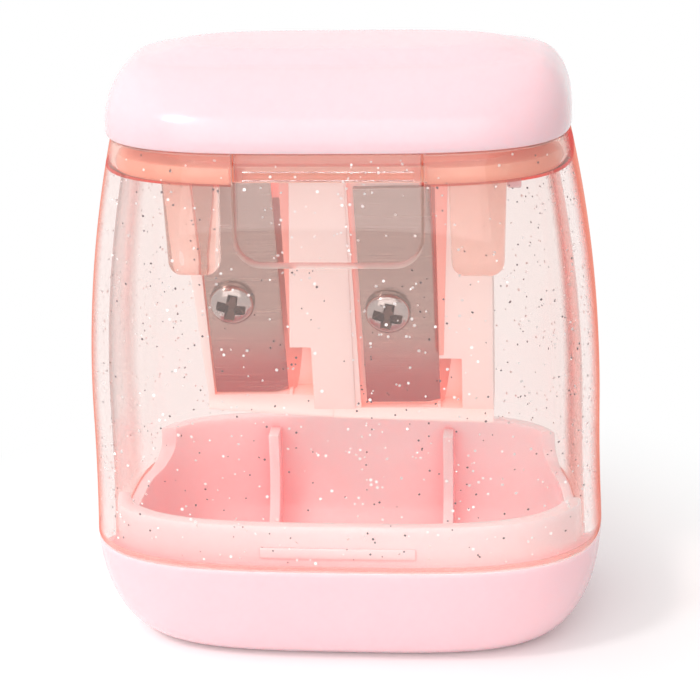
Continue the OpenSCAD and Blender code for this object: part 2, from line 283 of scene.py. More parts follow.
def rounded_prism(name, half, bottom, top, radius, front, back, corners=10):
    """A prism along Y whose XZ outline is a box with rounded lower corners."""
    outline = [Vector((-half, 0, top)), Vector((half, 0, top))]
    for side in (1, -1):
        centre = Vector((side * (half - radius), 0, bottom + radius))
        for i in range(corners + 1):
            turn = math.pi / 2 * i / corners
            if side < 0:
                turn = math.pi / 2 - turn
            outline.append(centre + radius * Vector((side * math.cos(turn), 0, -math.sin(turn))))
    return loft(name, [[p + Vector((0, y, 0)) for p in outline] for y in (front, back)])


def copy_node(node, name, merge=0.002 * MM):
    """A piece with the merged mesh of a CAD node."""
    bm = bmesh.new()
    bm.from_mesh(frame["nodes"][node].data)
    bmesh.ops.remove_doubles(bm, verts=bm.verts, dist=merge)
    bmesh.ops.dissolve_limit(bm, angle_limit=math.radians(0.5), verts=bm.verts, edges=bm.edges)
    return new_piece(bm, name)


# ---------------------------------------------------------------- finishes

class Wire:
    """An output of a node. Numbers among them are added, subtracted and scaled in plain sums."""

    def __init__(self, tree, socket):
        self.tree = tree
        self.socket = socket

    def _join(self, operation, a, b):
        node = self.tree.nodes.new("ShaderNodeMath")
        node.operation = operation
        for slot, value in zip(node.inputs, (a, b)):
            if isinstance(value, Wire):
                self.tree.links.new(value.socket, slot)
            else:
                slot.default_value = value
        return Wire(self.tree, node.outputs[0])

    def __add__(self, other):
        return self._join("ADD", self, other)

    __radd__ = __add__

    def __sub__(self, other):
        return self._join("SUBTRACT", self, other)

    def __rsub__(self, other):
        return self._join("SUBTRACT", other, self)

    def __mul__(self, other):
        return self._join("MULTIPLY", self, other)

    __rmul__ = __mul__

    def at_least(self, other):
        return self._join("MAXIMUM", self, other)


class Finish:
    """A material, or the world, made of nodes."""

    def __init__(self, owner):
        owner.use_nodes = True
        self.owner = owner
        self.tree = owner.node_tree
        self.tree.nodes.clear()

    def node(self, kind, settings=None, values=None, output=0):
        """Adds a node with its settings and the values or wires of its inputs, and gives one output."""
        made = self.tree.nodes.new("ShaderNode" + kind)
        for name, value in (settings or {}).items():
            setattr(made, name, value)
        for name, value in (values or {}).items():
            slot = made.inputs[name]
            if isinstance(value, Wire):
                self.tree.links.new(value.socket, slot)
            elif slot.type == "RGBA" and len(value) == 3:
                slot.default_value = (*value, 1)
            else:
                slot.default_value = value
        return Wire(self.tree, made.outputs[output]) if made.outputs else made

    def here(self):
        """The place of each point on the piece."""
        return self.node("TexCoord", output="Object")

    def along(self, axis):
        """The place of each point along one axis."""
        return self.node("SeparateXYZ", values={0: self.here()}, output=axis)

    def grain(self, scale, detail=2.0):
        return self.node("TexNoise", values={"Vector": self.here(), "Scale": scale, "Detail": detail})

    def blend(self, share, first, second):
        """A colour between two colours."""
        return self.node("Mix", {"data_type": "RGBA"}, {0: share, 6: first, 7: second}, output=2)

    def mixed(self, share, first, second):
        """A surface between two surfaces."""
        return self.node("MixShader", values={0: share, 1: first, 2: second})

    def seen(self, *kinds):
        """1 for the named kinds of ray, and 0 for the others."""
        total = self.node("LightPath", output=kinds[0])
        for kind in kinds[1:]:
            total = total.at_least(self.node("LightPath", output=kind))
        return total


def finish(name):
    return Finish(bpy.data.materials.new(name))


def srgb(red, green, blue):
    """A colour given in 0 to 255 as the linear values that nodes take."""
    def linear(value):
        share = value / 255
        return share / 12.92 if share <= 0.04045 else ((share + 0.055) / 1.055) ** 2.4

    return tuple(linear(value) for value in (red, green, blue))


def surface(made, shader, volume=None):
    values = {"Surface": shader}
    if volume:
        values["Volume"] = volume
    made.node("OutputMaterial", values=values)
    return made.owner


def painted_hollow_light(made, reach, pale, deep, fade=0.0):
    """Painted shade and glow: a pale plastic's colour that deepens in hollows found by occlusion, standing in for
    light that passes through the plastic again and again.

    A fade paints it paler towards the right, away from where the light comes in: a painted light gradient.
    """
    openness = made.node("AmbientOcclusion", {"samples": 12, "only_local": True}, {"Distance": reach},
                         output="AO")
    if fade:
        openness = openness + (made.along("X") + 0.006) * fade
    return made.blend(openness, deep, pale)


def gloss_pink(name, colour, deep=None):
    """Glossy moulded plastic with the faint unevenness of its polish."""
    made = finish(name)
    painted_glow = (0, 0, 0)
    # With a deep colour: painted shade in the hollows, painted paler towards the right, and a painted glow in the
    # hollows.
    if deep:
        colour = painted_hollow_light(made, 0.009, colour, deep, 10.0)
        painted_glow = painted_hollow_light(made, 0.011, (0, 0, 0), deep)
    cloud = made.grain(90.0, 3.0)
    bump = made.node("Bump", values={"Height": cloud, "Strength": 0.012, "Distance": 0.0006})
    shade = made.node("BsdfPrincipled", values={
        "Base Color": colour,
        "Roughness": cloud * 0.06 + 0.15,
        "IOR": 1.5,
        "Subsurface Weight": 0.7,
        "Subsurface Radius": (0.005, 0.002, 0.0019),
        "Subsurface Scale": 0.6,
        "Emission Color": painted_glow,
        "Emission Strength": 0.22,
        "Coat Weight": 0.35,
        "Coat Roughness": 0.06,
        "Normal": bump,
    })
    return surface(made, shade)


def clear_plastic(name, clarity, absorbed, roughness, veil=0.035, veil_colour=(1.0, 0.9, 0.87)):
    """Clear tinted plastic that deepens to salmon where it is seen edge on.

    Absorbed is each colour's loss per metre, and the veil is the share of its surface that scatters light.
    """
    made = finish(name)
    glass = made.node("BsdfPrincipled", values={
        "Base Color": clarity,
        "Roughness": roughness,
        "IOR": 1.47,
        "Transmission Weight": 1.0,
    })
    facing = made.node("LayerWeight", values={"Blend": 0.5}, output="Facing")
    edge_on = made.node("MapRange", {"interpolation_type": "SMOOTHSTEP"},
                        {"Value": facing, "From Min": 0.6, "From Max": 0.92, "To Max": 0.9})
    deep = made.node("BsdfTransparent", values={"Color": (0.95, 0.57, 0.48)})
    skin = made.mixed(edge_on, glass, deep)
    haze = made.node("BsdfDiffuse", values={"Color": veil_colour})
    skin = made.mixed(veil, skin, haze)
    window = made.node("BsdfTransparent", values={"Color": (1.0, 0.98, 0.975)})
    through = made.seen("Is Shadow Ray", "Is Diffuse Ray")
    both = made.mixed(through, skin, window)
    density = 400.0
    tint = tuple(1 - a / density for a in absorbed)
    volume = made.node("VolumeAbsorption", values={"Color": tint, "Density": density})
    return surface(made, both, volume)


def painted_edge_light(name, colour, clear):
    """The narrow edge of a clear wall, given painted light: a solid colour that stands in for the light the edge
    gathers, mixed with a share that lets what is behind it through.
    """
    made = finish(name)
    cloud = made.grain(300.0)
    solid = made.node("BsdfPrincipled", values={
        "Base Color": colour,
        "Roughness": cloud * 0.1 + 0.2,
    })
    through = made.node("BsdfTransparent", values={"Color": clear})
    return surface(made, made.mixed(cloud * 0.2 + 0.45, solid, through))


def peach_plastic(name, colour, clarity, tint):
    """Translucent peach plastic, which scatters part of its light and passes the rest."""
    made = finish(name)
    cloud = made.grain(200.0, 3.0)
    # Its colour deepens in hollows found by occlusion: painted shade.
    solid = made.node("BsdfPrincipled", values={
        "Base Color": painted_hollow_light(made, 0.003, colour, srgb(246, 128, 104)),
        "Roughness": cloud * 0.08 + 0.12,
        "Subsurface Weight": 0.7,
        "Subsurface Radius": (0.003, 0.0022, 0.002),
        "Subsurface Scale": 1.0,
    })
    clear = made.node("BsdfPrincipled", values={
        "Base Color": tint,
        "Roughness": 0.04,
        "IOR": 1.45,
        "Transmission Weight": 1.0,
    })
    skin = made.mixed(cloud * 0.16 + (clarity - 0.08), solid, clear)
    window = made.node("BsdfTransparent", values={"Color": (1.0, 0.9, 0.86)})
    through = made.seen("Is Shadow Ray", "Is Diffuse Ray")
    return surface(made, made.mixed(through, skin, window))


def block_plastic(name, pale, deep, painted_light_colour):
    """Pale plastic with painted shade and a painted glow in its hollows, which stand in for light that reaches
    them through the block itself.
    """
    made = finish(name)
    grain = made.grain(900.0, 4.0)
    bump = made.node("Bump", values={"Height": grain, "Strength": 0.06, "Distance": 0.0002})
    shade = made.node("BsdfPrincipled", values={
        "Base Color": painted_hollow_light(made, 0.0035, pale, deep),
        "Emission Color": painted_hollow_light(made, 0.0035, (0, 0, 0), painted_light_colour),
        "Emission Strength": 0.4,
        "Roughness": grain * 0.12 + 0.36,
        "Subsurface Weight": 0.3,
        "Subsurface Radius": (0.003, 0.0022, 0.002),
        "Subsurface Scale": 1.0,
        "Normal": bump,
    })
    return surface(made, shade)


def brushed_steel():
    """Ground steel with its grain across the blade, and a painted pink reflection of the bowl at its low end."""
    made = finish("brushed steel, painted reflection at its foot")
    stretched = made.node("Mapping", values={"Vector": made.here(), "Scale": (60.0, 400.0, 5200.0)})
    grain = made.node("TexNoise", values={"Vector": stretched, "Scale": 1.0, "Detail": 5.0})
    bump = made.node("Bump", values={"Height": grain, "Strength": 0.1, "Distance": 0.0001})
    # Painted reflection: the blade turns pinker towards its low end, where it would mirror the bowl.
    rise = made.node("MapRange", {"interpolation_type": "SMOOTHSTEP"},
                     {"Value": made.along("Z"), "From Min": 0.026, "From Max": 0.034})
    ground = made.blend(grain, (0.38, 0.27, 0.235), (0.52, 0.395, 0.35))
    painted_bowl_reflection = made.blend(grain, (0.44, 0.17, 0.16), (0.58, 0.26, 0.245))
    shade = made.node("BsdfPrincipled", values={
        "Base Color": made.blend(rise, painted_bowl_reflection, ground),
        "Metallic": 1.0,
        "Roughness": grain * 0.14 + 0.18,
        "Normal": bump,
    })
    return surface(made, shade)


def metal(name, colour, metallic, roughness, haze):
    """A metal whose gloss varies a little over it."""
    made = finish(name)
    shade = made.node("BsdfPrincipled", values={
        "Base Color": colour,
        "Metallic": metallic,
        "Roughness": haze(made) + roughness,
    })
    return surface(made, shade)


def chrome(name, colour, roughness):
    return metal(name, colour, 1.0, roughness, lambda made: made.grain(700.0) * 0.08)


def glitter_foil(name, colour, roughness):
    return metal(name, colour, 0.25, roughness, lambda made: made.grain(900.0) * 0.2)


pink = gloss_pink("pink plastic", srgb(254, 207, 213))
# The tray's inside is a lit and shaded copy of the pink plastic: painted shade and glow in its hollows, and
# painted paler towards the right.
pink_inside_painted_light = gloss_pink("pink plastic inside, painted shade and glow", srgb(255, 230, 232), srgb(255, 124, 130))
body_clear = clear_plastic("clear body plastic", (0.985, 0.97, 0.962), (1.0, 26.0, 32.0), 0.012)
tongue_clear = clear_plastic("clear tongue plastic", (0.99, 0.965, 0.955), (1.0, 32.0, 38.0), 0.012)
rim_clear = clear_plastic("clear rim plastic", (1.0, 0.8, 0.73), (1.0, 26.0, 32.0), 0.02, 0.16,
                          (1.0, 0.6, 0.5))
# Painted light on the clear walls' edges: a salmon painted glow on the rims and the seam, and a pale painted
# highlight along the tongue's cut.
salmon_painted_light = painted_edge_light("salmon edge, painted glow", srgb(255, 216, 206), (1.0, 0.9, 0.87))
painted_highlight_edge = painted_edge_light("pale edge, painted highlight", srgb(255, 246, 242), (1.0, 0.94, 0.92))
peach = peach_plastic("peach deck plastic", srgb(255, 192, 170), 0.32, (1.0, 0.66, 0.55))
peach_post = peach_plastic("clear peach post", srgb(255, 205, 190), 0.88, (1.0, 0.86, 0.81))
# The block's plastic: painted shade and a painted glow in its hollows.
block_pink = block_plastic("block plastic", srgb(255, 234, 229), srgb(255, 150, 132), srgb(255, 140, 124))
# A deeper copy for the slot flanks: more painted shade and painted glow.
slot_painted_shade = block_plastic("block plastic in the slots, painted shade and glow", srgb(255, 178, 165), srgb(250, 140, 122),
                           srgb(255, 120, 104))
steel = brushed_steel()
plated = chrome("bright plated steel", (0.46, 0.42, 0.4), 0.12)
# The cross recess is painted darker: painted shade.
recess_painted_shade = chrome("plated steel, painted shade in the recess", (0.2, 0.12, 0.095), 0.5)


def dress(piece, material, slot, body, *nodes):
    """Gives a piece its material and the body it rides, and hides the nodes it stands for. The slot is not used.
    """
    piece.data.materials.append(material)
    if nodes:
        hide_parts(*nodes)
    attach(piece, body)


def refinish(piece, material, chosen):
    """Gives a second finish to the faces that are chosen by their centre and normal."""
    piece.data.materials.append(material)
    for face in piece.data.polygons:
        if chosen(face.center, face.normal):
            face.material_index = len(piece.data.materials) - 1


# ---------------------------------------------------------------- base tray

def bowl_ring(turn, foot_wall, seam_wall, floor):
    """The bowl's outline, from its foot at turn 90 to the seam at turn 0, inset by a changing wall."""
    turn = math.radians(turn)
    z = floor + (tray_h - floor) * (1 - math.sin(turn))
    wall = foot_wall + (seam_wall - foot_wall) * z / tray_h + foot_tuck * (1 - z / tray_h)
    spread = 1 - math.cos(turn)
    return ring(z, wall + foot_inset_x * spread, wall + foot_inset_y * spread)


def skirt_ring(z, wall):
    return body_ring(z, skirt_in + wall)


def make_tray():
    edge, rim_round, slope = 0.18 * MM, 0.3 * MM, 0.08 * MM
    part = edge * EDGE_MIDDLE
    rim_start = skirt_top - rim_round
    outside = [bowl_ring(turn, 0, 0, 0) for turn in range(90, 2, -3)]
    seam_edge = [
        ring(tray_h - edge, 0, 0),
        ring(tray_h - part, part, part),
        ring(tray_h, edge, edge),
    ]
    skirt_out = [skirt_ring(z, 0) for z in heights(tray_h, rim_start, 6)]
    rim = [
        skirt_ring(skirt_top - slope, slope),
        skirt_ring(skirt_top, rim_round),
        skirt_ring(skirt_top, skirt_wall - rim_round),
        skirt_ring(skirt_top - slope, skirt_wall - slope),
    ]
    skirt_back = [skirt_ring(z, skirt_wall) for z in heights(rim_start, tray_h, 5)]
    inside = [bowl_ring(turn, tray_wall, skirt_in + skirt_wall, tray_floor) for turn in range(2, 91, 4)]
    tray = loft("pink_tray", outside + seam_edge + skirt_out + rim + skirt_back + inside)
    cut(tray, skirt_window())
    for side in (-1, 1):
        cut(tray, tray_fin(side), "UNION")
    cut(tray, snap_bead(), "UNION")
    dress(smooth(tray), pink, "pink_plastic", "tray", "base_tray")

    def is_inside(centre, normal):
        inward = normal.x * centre.x + normal.y * centre.y < 0
        is_skirt = centre.z > tray_h - 0.1 * MM
        return centre.z > tray_floor * 0.9 and (is_skirt or inward or normal.z > 0.5)

    # The inside faces take the copy of the pink plastic with painted shade and glow.
    refinish(tray, pink_inside_painted_light, is_inside)


def skirt_window():
    """The open side of the skirt, right across."""
    front, back, radius, steps = -7.4 * MM, 10.1 * MM, 2.6 * MM, 12
    bottom, reach = tray_h + 0.3 * MM, half_w * 1.2
    outline = [Vector((0, back, lid_low)), Vector((0, front, lid_low))]
    for y, start in ((front + radius, 180), (back - radius, 270)):
        for i in range(steps + 1):
            turn = math.radians(start + 90 * i / steps)
            corner = Vector((0, y, bottom + radius))
            outline.append(corner + radius * Vector((0, math.cos(turn), math.sin(turn))))
    return loft("skirt_window", [[p + Vector((x, 0, 0)) for p in outline] for x in (-reach, reach)])


def tray_fin(side):
    """An upright fin on the bowl's back wall, cut to the wall's curve in front and behind."""
    middle, half_t, top = side * 9.8 * MM, 0.55 * MM, tray_h + 3 * MM
    proud = skirt_wall + 2.6 * MM
    front_floor, back_floor, back_wall, back_skirt = tray_floor + 1.1 * MM, 0.9 * MM, 0.8 * MM, 0.65 * MM
    fin = box_piece("fin", (middle - half_t, 0, tray_floor * 0.6), (middle + half_t, half_d - 2.4 * MM, top))
    inner = [bowl_ring(turn, skirt_in + proud, skirt_in + proud, front_floor) for turn in range(90, -1, -5)]
    cut(fin, loft("fin_clearing", inner + [skirt_ring(top + MM, proud)]))
    outer = [bowl_ring(turn, back_wall, skirt_in, back_floor) for turn in range(90, 5, -5)]
    outer += [skirt_ring(z, back_skirt) for z in (tray_h, top + MM)]
    cut(fin, loft("fin_bound", outer), "INTERSECT")
    return soften(fin, 0.18 * MM, 2)


def snap_bead():
    """The low ridge that holds the container, on the front of the skirt."""
    z, half_h, half_l, proud = tray_h + 1.5 * MM, 0.6 * MM, 7.8 * MM, 0.16 * MM
    fullness, root_h, root = 0.4, half_h * 0.9, skirt_wall * 0.5
    rings = []
    for turn in range(-90, 91, 15):
        angle = math.radians(turn)
        rings.append(skirt_ring(z + half_h * math.sin(angle), -proud * math.cos(angle) ** fullness))
    rings += [skirt_ring(z + root_h, root), skirt_ring(z - root_h, root)]
    bead = loft("bead", rings, closed=True)
    return cut(bead, box_piece("bead_bound", (-half_l, -half_d, z - MM), (half_l, 0, z + MM)), "INTERSECT")


make_tray()


# ---------------------------------------------------------------- clear container

def shell_rings(outer_wall, inner_wall, edge):
    """Rings round a closed wall of the body, up its outside and down its inside."""
    bottom, top, part = seam, body_top, edge * EDGE_MIDDLE
    up = [body_ring(z, outer_wall) for z in heights(bottom + edge, top - edge, 44)]
    over = [
        body_ring(top - part, outer_wall + part),
        body_ring(top, outer_wall + edge),
        body_ring(top, rim_wall - edge),
        body_ring(top - part, rim_wall - part),
    ]
    rim = [body_ring(z, rim_wall) for z in heights(top - edge, ledge + edge, 4)]
    step = [
        body_ring(ledge + part, rim_wall + part),
        body_ring(ledge, rim_wall + edge),
        body_ring(ledge, inner_wall - edge * 0.5),
        body_ring(ledge - part, inner_wall),
    ]
    down = [body_ring(z, inner_wall) for z in heights(ledge - 2 * edge, bottom + edge, 40)]
    under = [
        body_ring(bottom + part, inner_wall - part),
        body_ring(bottom, inner_wall - edge),
        body_ring(bottom, outer_wall + edge),
        body_ring(bottom + part, outer_wall + part),
    ]
    return up + over + rim + step + down + under


def hinge_ear(side):
    """An ear of the clear body with the hole of the lid's stub pin."""
    inner = side * (barrel_half + hinge_gap)
    outer = inner + side * ear_w
    root = half_d - inset(body_top, body_taper_y) - rim_wall / 2
    foot_low = (min(inner, outer), root, ear_z - hinge_r)
    foot_high = (max(inner, outer), ear_y, ear_z)
    ear = rod("ear", (inner, ear_y, ear_z), (outer, ear_y, ear_z), hinge_r)
    cut(ear, box_piece("ear_foot", foot_low, foot_high), "UNION")
    hole_ends = [(x, ear_y, ear_z) for x in (inner - side * MM, outer + side * MM)]
    return cut(ear, rod("ear_hole", *hole_ends, pin_r + 0.05 * MM))


def front_cut(name, half, bottom, top, radius):
    """A tool with the outline of the tongue, through the front wall."""
    return rounded_prism(name, half, bottom, top, radius, -half_d * 1.2, -half_d * 0.5)


def make_container():
    shell = loft("container_shell", shell_rings(0, body_wall, 0.15 * MM), closed=True)
    notch_half, notch_y, notch_low = barrel_half + hinge_gap, 4 * MM, ear_z - hinge_r - 0.3 * MM
    cut(shell, box_piece("hinge_notch", (-notch_half, ear_y - notch_y, notch_low),
                         (notch_half, ear_y + notch_y, body_top + MM)))
    cut(shell, front_cut("tongue_cut", tongue_half + tongue_gap, tongue_low - tongue_gap, body_top + MM,
                         tongue_r + tongue_gap))
    for side in (-1, 1):
        cut(shell, hinge_ear(side), "UNION")
    dress(smooth(shell), body_clear, "clear_plastic", "container", "clear_body")

    def on_rim(centre, normal):
        return abs(normal.z) > 0.35 and (centre.z < seam + 0.2 * MM or centre.z > ledge - 0.3 * MM)

    def on_tongue_cut(centre, normal):
        beside = abs(centre.x) < tongue_half + 0.6 * MM and centre.y < 0
        return abs(normal.y) < 0.4 and beside and centre.z > tongue_low - MM

    refinish(shell, rim_clear, lambda centre, normal: centre.z > ledge + 0.35 * MM)
    # The rim and seam faces get a painted salmon glow, and the faces of the tongue's cut a painted highlight.
    refinish(shell, salmon_painted_light, on_rim)
    refinish(shell, painted_highlight_edge, on_tongue_cut)


def make_tongue():
    bottom, top = tongue_low - MM, body_top + MM
    up = [body_ring(z, 0) for z in heights(bottom, top, 20)]
    down = [body_ring(z, tongue_t) for z in heights(top, bottom, 20)]
    tongue = loft("clear_tongue", up + down, closed=True)
    cut(tongue, front_cut("tongue_bound", tongue_half, tongue_low, body_top, tongue_r), "INTERSECT")
    web_half, web_r = tongue_half - 0.7 * MM, 0.5 * MM
    web_ends = [(x, tongue_pivot.y, tongue_pivot.z) for x in (-web_half, web_half)]
    cut(tongue, rod("web", *web_ends, web_r), "UNION")
    dress(smooth(tongue), tongue_clear, "clear_plastic", "tongue", "release_tongue")

    def on_web(centre, normal):
        return math.hypot(centre.y - tongue_pivot.y, centre.z - tongue_pivot.z) < web_r + 0.05 * MM

    upper = body_top - 0.1 * MM
    # The tongue's cut sides get a painted highlight, and its top a painted salmon glow.
    refinish(tongue, painted_highlight_edge, lambda centre, normal: abs(normal.y) < 0.4 and centre.z < upper)
    refinish(tongue, salmon_painted_light, lambda centre, normal: centre.z > upper)
    refinish(tongue, peach_post, on_web)


make_container()
make_tongue()


def in_tongue(spot, margin):
    return spot.y < 0 and abs(spot.x) < tongue_half + margin and spot.z > tongue_low - margin


def in_shell(spot):
    """True where the shell is whole: clear of the tongue's cut and of the hinge's notch."""
    in_notch = abs(spot.x) < barrel_half + 0.5 * MM and spot.z > ear_z - 2 * MM and spot.y > 0
    return not in_notch and not in_tongue(spot, 0.6 * MM)


def in_tongue_plate(spot):
    corner = abs(spot.x) > tongue_half - tongue_r and spot.z < tongue_low + tongue_r
    return in_tongue(spot, -0.5 * MM) and not corner


def make_glitter(name, body, count, seed, material, largest, belongs, wall):
    """Foil flakes moulded into a clear wall, each a thin six-sided plate."""
    pick = random.Random(seed)
    bm = bmesh.new()
    while count:
        z = pick.uniform(seam + 0.6 * MM, body_top - 0.6 * MM)
        turn = pick.choice(TURNS) + pick.uniform(0, 0.03)
        depth = pick.uniform(0.35, 0.75) * (min(rim_wall, wall) if z > ledge - 0.3 * MM else wall)
        across = half_w - inset(z, body_taper_x) - depth
        along = half_d - inset(z, body_taper_y) - depth
        spot = plan_point(across, along, turn, z)
        if not belongs(spot):
            continue
        outward = (plan_point(across, along, turn + 0.01, z) - spot).cross(Vector((0, 0, 1))).normalized()
        facing = outward + Vector([pick.uniform(-0.6, 0.6) for _ in range(3)])
        turn_to = Vector((0, 0, 1)).rotation_difference(facing).to_matrix().to_4x4()
        radius = largest * pick.uniform(0.45, 1)
        bmesh.ops.create_cone(bm, cap_ends=True, segments=6, radius1=radius, radius2=radius, depth=0.02 * MM,
                              matrix=Matrix.Translation(spot) @ turn_to)
        count -= 1
    dress(new_piece(bm, name), material, "clear_plastic", body)


bright_foil = glitter_foil("bright foil", (0.95, 0.93, 0.93), 0.2)
dark_foil = glitter_foil("dark foil", (0.16, 0.13, 0.14), 0.3)
make_glitter("bright_glitter", "container", 1350, 5, bright_foil, 0.18 * MM, in_shell, body_wall)
make_glitter("dark_glitter", "container", 750, 11, dark_foil, 0.14 * MM, in_shell, body_wall)
make_glitter("tongue_glitter", "tongue", 60, 3, bright_foil, 0.18 * MM, in_tongue_plate, tongue_t)


# ---------------------------------------------------------------- deck

def make_deck():
    edge = 0.15 * MM
    part, outer = edge * EDGE_MIDDLE, rim_wall + 0.05 * MM
    collar_out, collar_in, collar_foot = 2.7 * MM, 3.7 * MM, deck_top - 0.2 * MM
    deck = loft("peach_deck", [
        body_ring(ledge, outer + edge),
        body_ring(ledge + part, outer + part),
        body_ring(ledge + edge, outer),
        body_ring(deck_top - edge, outer),
        body_ring(deck_top - part, outer + part),
        body_ring(deck_top, outer + edge),
    ])
    collar = loft("collar", [
        body_ring(collar_foot, collar_out),
        body_ring(collar_top - edge, collar_out),
        body_ring(collar_top, collar_out + edge),
        body_ring(collar_top, collar_in - edge),
        body_ring(collar_top - edge, collar_in),
        body_ring(collar_foot, collar_in),
    ], closed=True)
    cut(deck, collar, "UNION")
    for side in (-1, 1):
        cut(deck, deck_post(side), "UNION")
    pin_y, block_pin_r = 5.2 * MM, 1.2 * MM
    for x in (low("sharpener_block").x + 3.6 * MM, 0.8 * MM):
        pin = rod("pin", (x, pin_y, ledge - 5 * MM), (x, pin_y, ledge + 0.2 * MM), block_pin_r)
        cut(deck, pin, "UNION")
    for mount in bores:
        x, y, _ = mount["pos_m"]
        radius = (mount["dims"]["r_mm"] + 0.3) * MM
        cut(deck, rod("bore", (x, y, ledge - 2 * MM), (x, y, deck_top + 2 * MM), radius, 96))
    for side in (-1, 1):
        near, far = sorted((side * (hook_in - hook_gap), side * (hook_out + hook_gap)))
        cut(deck, box_piece("hook_window", (near, hook_front - 1.9 * MM, ledge - MM),
                            (far, hook_back + hook_gap, deck_top + MM)))
    room_half, room_back = tongue_half + 0.6 * MM, tongue_pivot.y + 0.55 * MM
    cut(deck, box_piece("tongue_room", (-room_half, -half_d, ledge - MM),
                        (room_half, room_back, collar_top + MM)))
    dress(smooth(deck), peach, "peach_plastic", "container", "head_deck")
    refinish(deck, peach_post, lambda centre, normal: centre.z < ledge - 0.4 * MM)


def deck_post(side):
    """A hanging post with rounded edges and a little draft."""
    middle, front = side * 14 * MM, -9 * MM
    half_x, half_y, radius, narrowing, steps = 2.8 * MM, 1.7 * MM, 1.4 * MM, 0.25 * MM, 6
    bottom = ledge - 10.5 * MM
    rounding = []
    for i in range(steps + 1):
        turn = math.pi / 2 * i / steps
        rounding.append((bottom + radius * (1 - math.cos(turn)), radius * (1 - math.sin(turn))))
    straight = [(z, 0) for z in heights(bottom + radius * 1.05, ledge + 0.2 * MM, 6)]
    rings = []
    for z, tuck in rounding + straight:
        draft = max(narrowing * (ledge - z) / (ledge - bottom), 0)
        corner = max(radius - tuck, 0.05 * MM)
        rings.append(round_box_ring(middle, front, half_x - draft - tuck, half_y - tuck, corner, z))
    return loft("post", rings)


def round_box_ring(x, y, half_x, half_y, radius, z, steps=8):
    """A level box outline with rounded corners."""
    points = []
    for corner, (sx, sy) in enumerate(((1, 1), (-1, 1), (-1, -1), (1, -1))):
        for i in range(steps + 1):
            turn = math.pi / 2 * (corner + i / steps)
            points.append(Vector((
                x + sx * (half_x - radius) + radius * math.cos(turn),
                y + sy * (half_y - radius) + radius * math.sin(turn), z)))
    return points


make_deck()


# ---------------------------------------------------------------- block, blades and screws

def face_forward(z):
    """How far the block's leaning face has come forward at height z."""
    return (z - face_start) * math.tan(lean)


def level_foot(piece):
    """Brings the feet of the block's two halves to one line where they meet."""
    small_heights = (22.9 * MM, 23.55 * MM)
    large_foot, large_lip = 22.6 * MM, 22.2 * MM
    near, lip_trim = 0.02 * MM, 0.3 * MM
    drop, forward, rise = 0.6 * MM, 0.62 * MM, 0.4 * MM
    left, right = low("sharpener_block").x, high("sharpener_block").x
    for v in piece.data.vertices:
        is_small = v.co.x < block_split + near and any(abs(v.co.z - z) < near for z in small_heights)
        if is_small:
            share = (v.co.x - left) / (block_split - left)
            v.co.z -= drop * share + (lip_trim if v.co.z > face_start else 0)
            v.co.y -= forward * share if v.co.y < -0.4 * MM else 0
        elif v.co.z < large_foot:
            share = (right - v.co.x) / (right - block_split)
            v.co.z += rise * share - (lip_trim if v.co.z > large_lip else 0)
    return piece


def face_plate(name, front, back, corners):
    """A plate between two depths that leans with the block's face. Its corners are x and z in millimetres."""
    outline = [Vector((x * MM, -face_forward(z * MM), z * MM)) for x, z in corners]
    return loft(name, [[p + Vector((0, y, 0)) for p in outline] for y in (front, back)])


def make_block():
    """The block, the plate between its two pockets, and the sloping flank beside each blade's slot."""
    body = soften(level_foot(copy_node("sharpener_block", "block_body")), 0.22 * MM, 3, 50)
    dress(smooth(body, flat_faces=True), block_pink, "block_plastic", "container", "sharpener_block")
    rib_face, rib_t = -1.54 * MM, 2.4 * MM
    rib = face_plate("block_rib", rib_face, rib_face + rib_t, (
        (0.85, 22.95), (0.85, 50.88), (-4.6, 50.88), (-5.7, 30.4), (-3.5, 30.4), (-3.5, 22.95)))
    rib = smooth(soften(rib, 0.12 * MM), flat_faces=True)
    dress(rib, block_pink, "block_plastic", "container")
    proud, bury = 0.04 * MM, 0.6 * MM
    for size, face, corners in (
        ("small", -0.42 * MM, ((-5.85, 50.85), (-4.5, 50.85), (-5.7, 30.2), (-5.85, 30.2))),
        ("large", -1.42 * MM, ((9.75, 50.85), (11.1, 50.85), (10.2, 29.6), (9.75, 29.6))),
    ):
        flank = face_plate("slot_flank_" + size, face - proud, face + bury, corners)
        # The flanks take the block plastic's deeper copy: painted shade and glow in the slots.
        dress(flank, slot_painted_shade, "block_plastic", "container")


def make_blade(size):
    blade = soften(copy_node("blade_" + size, "steel_blade_" + size), 0.04 * MM, 2, 50)
    blade.data.transform(Matrix.Translation(seat_shift[size]))
    dress(smooth(blade, 30, flat_faces=True), steel, "blade_steel", "container", "blade_" + size)


def turned(name, profile, steps=72):
    """A round solid about Z from its outline in distance and height."""
    bm = bmesh.new()
    row = [bm.verts.new((across, 0, z)) for across, z in profile]
    for v, following in zip(row, row[1:]):
        bm.edges.new((v, following))
    bmesh.ops.spin(bm, geom=list(bm.verts) + list(bm.edges), axis=(0, 0, 1), cent=(0, 0, 0),
                   angle=2 * math.pi, steps=steps, use_merge=True)
    bmesh.ops.remove_doubles(bm, verts=bm.verts, dist=0.001 * MM)
    return new_piece(bm, name)


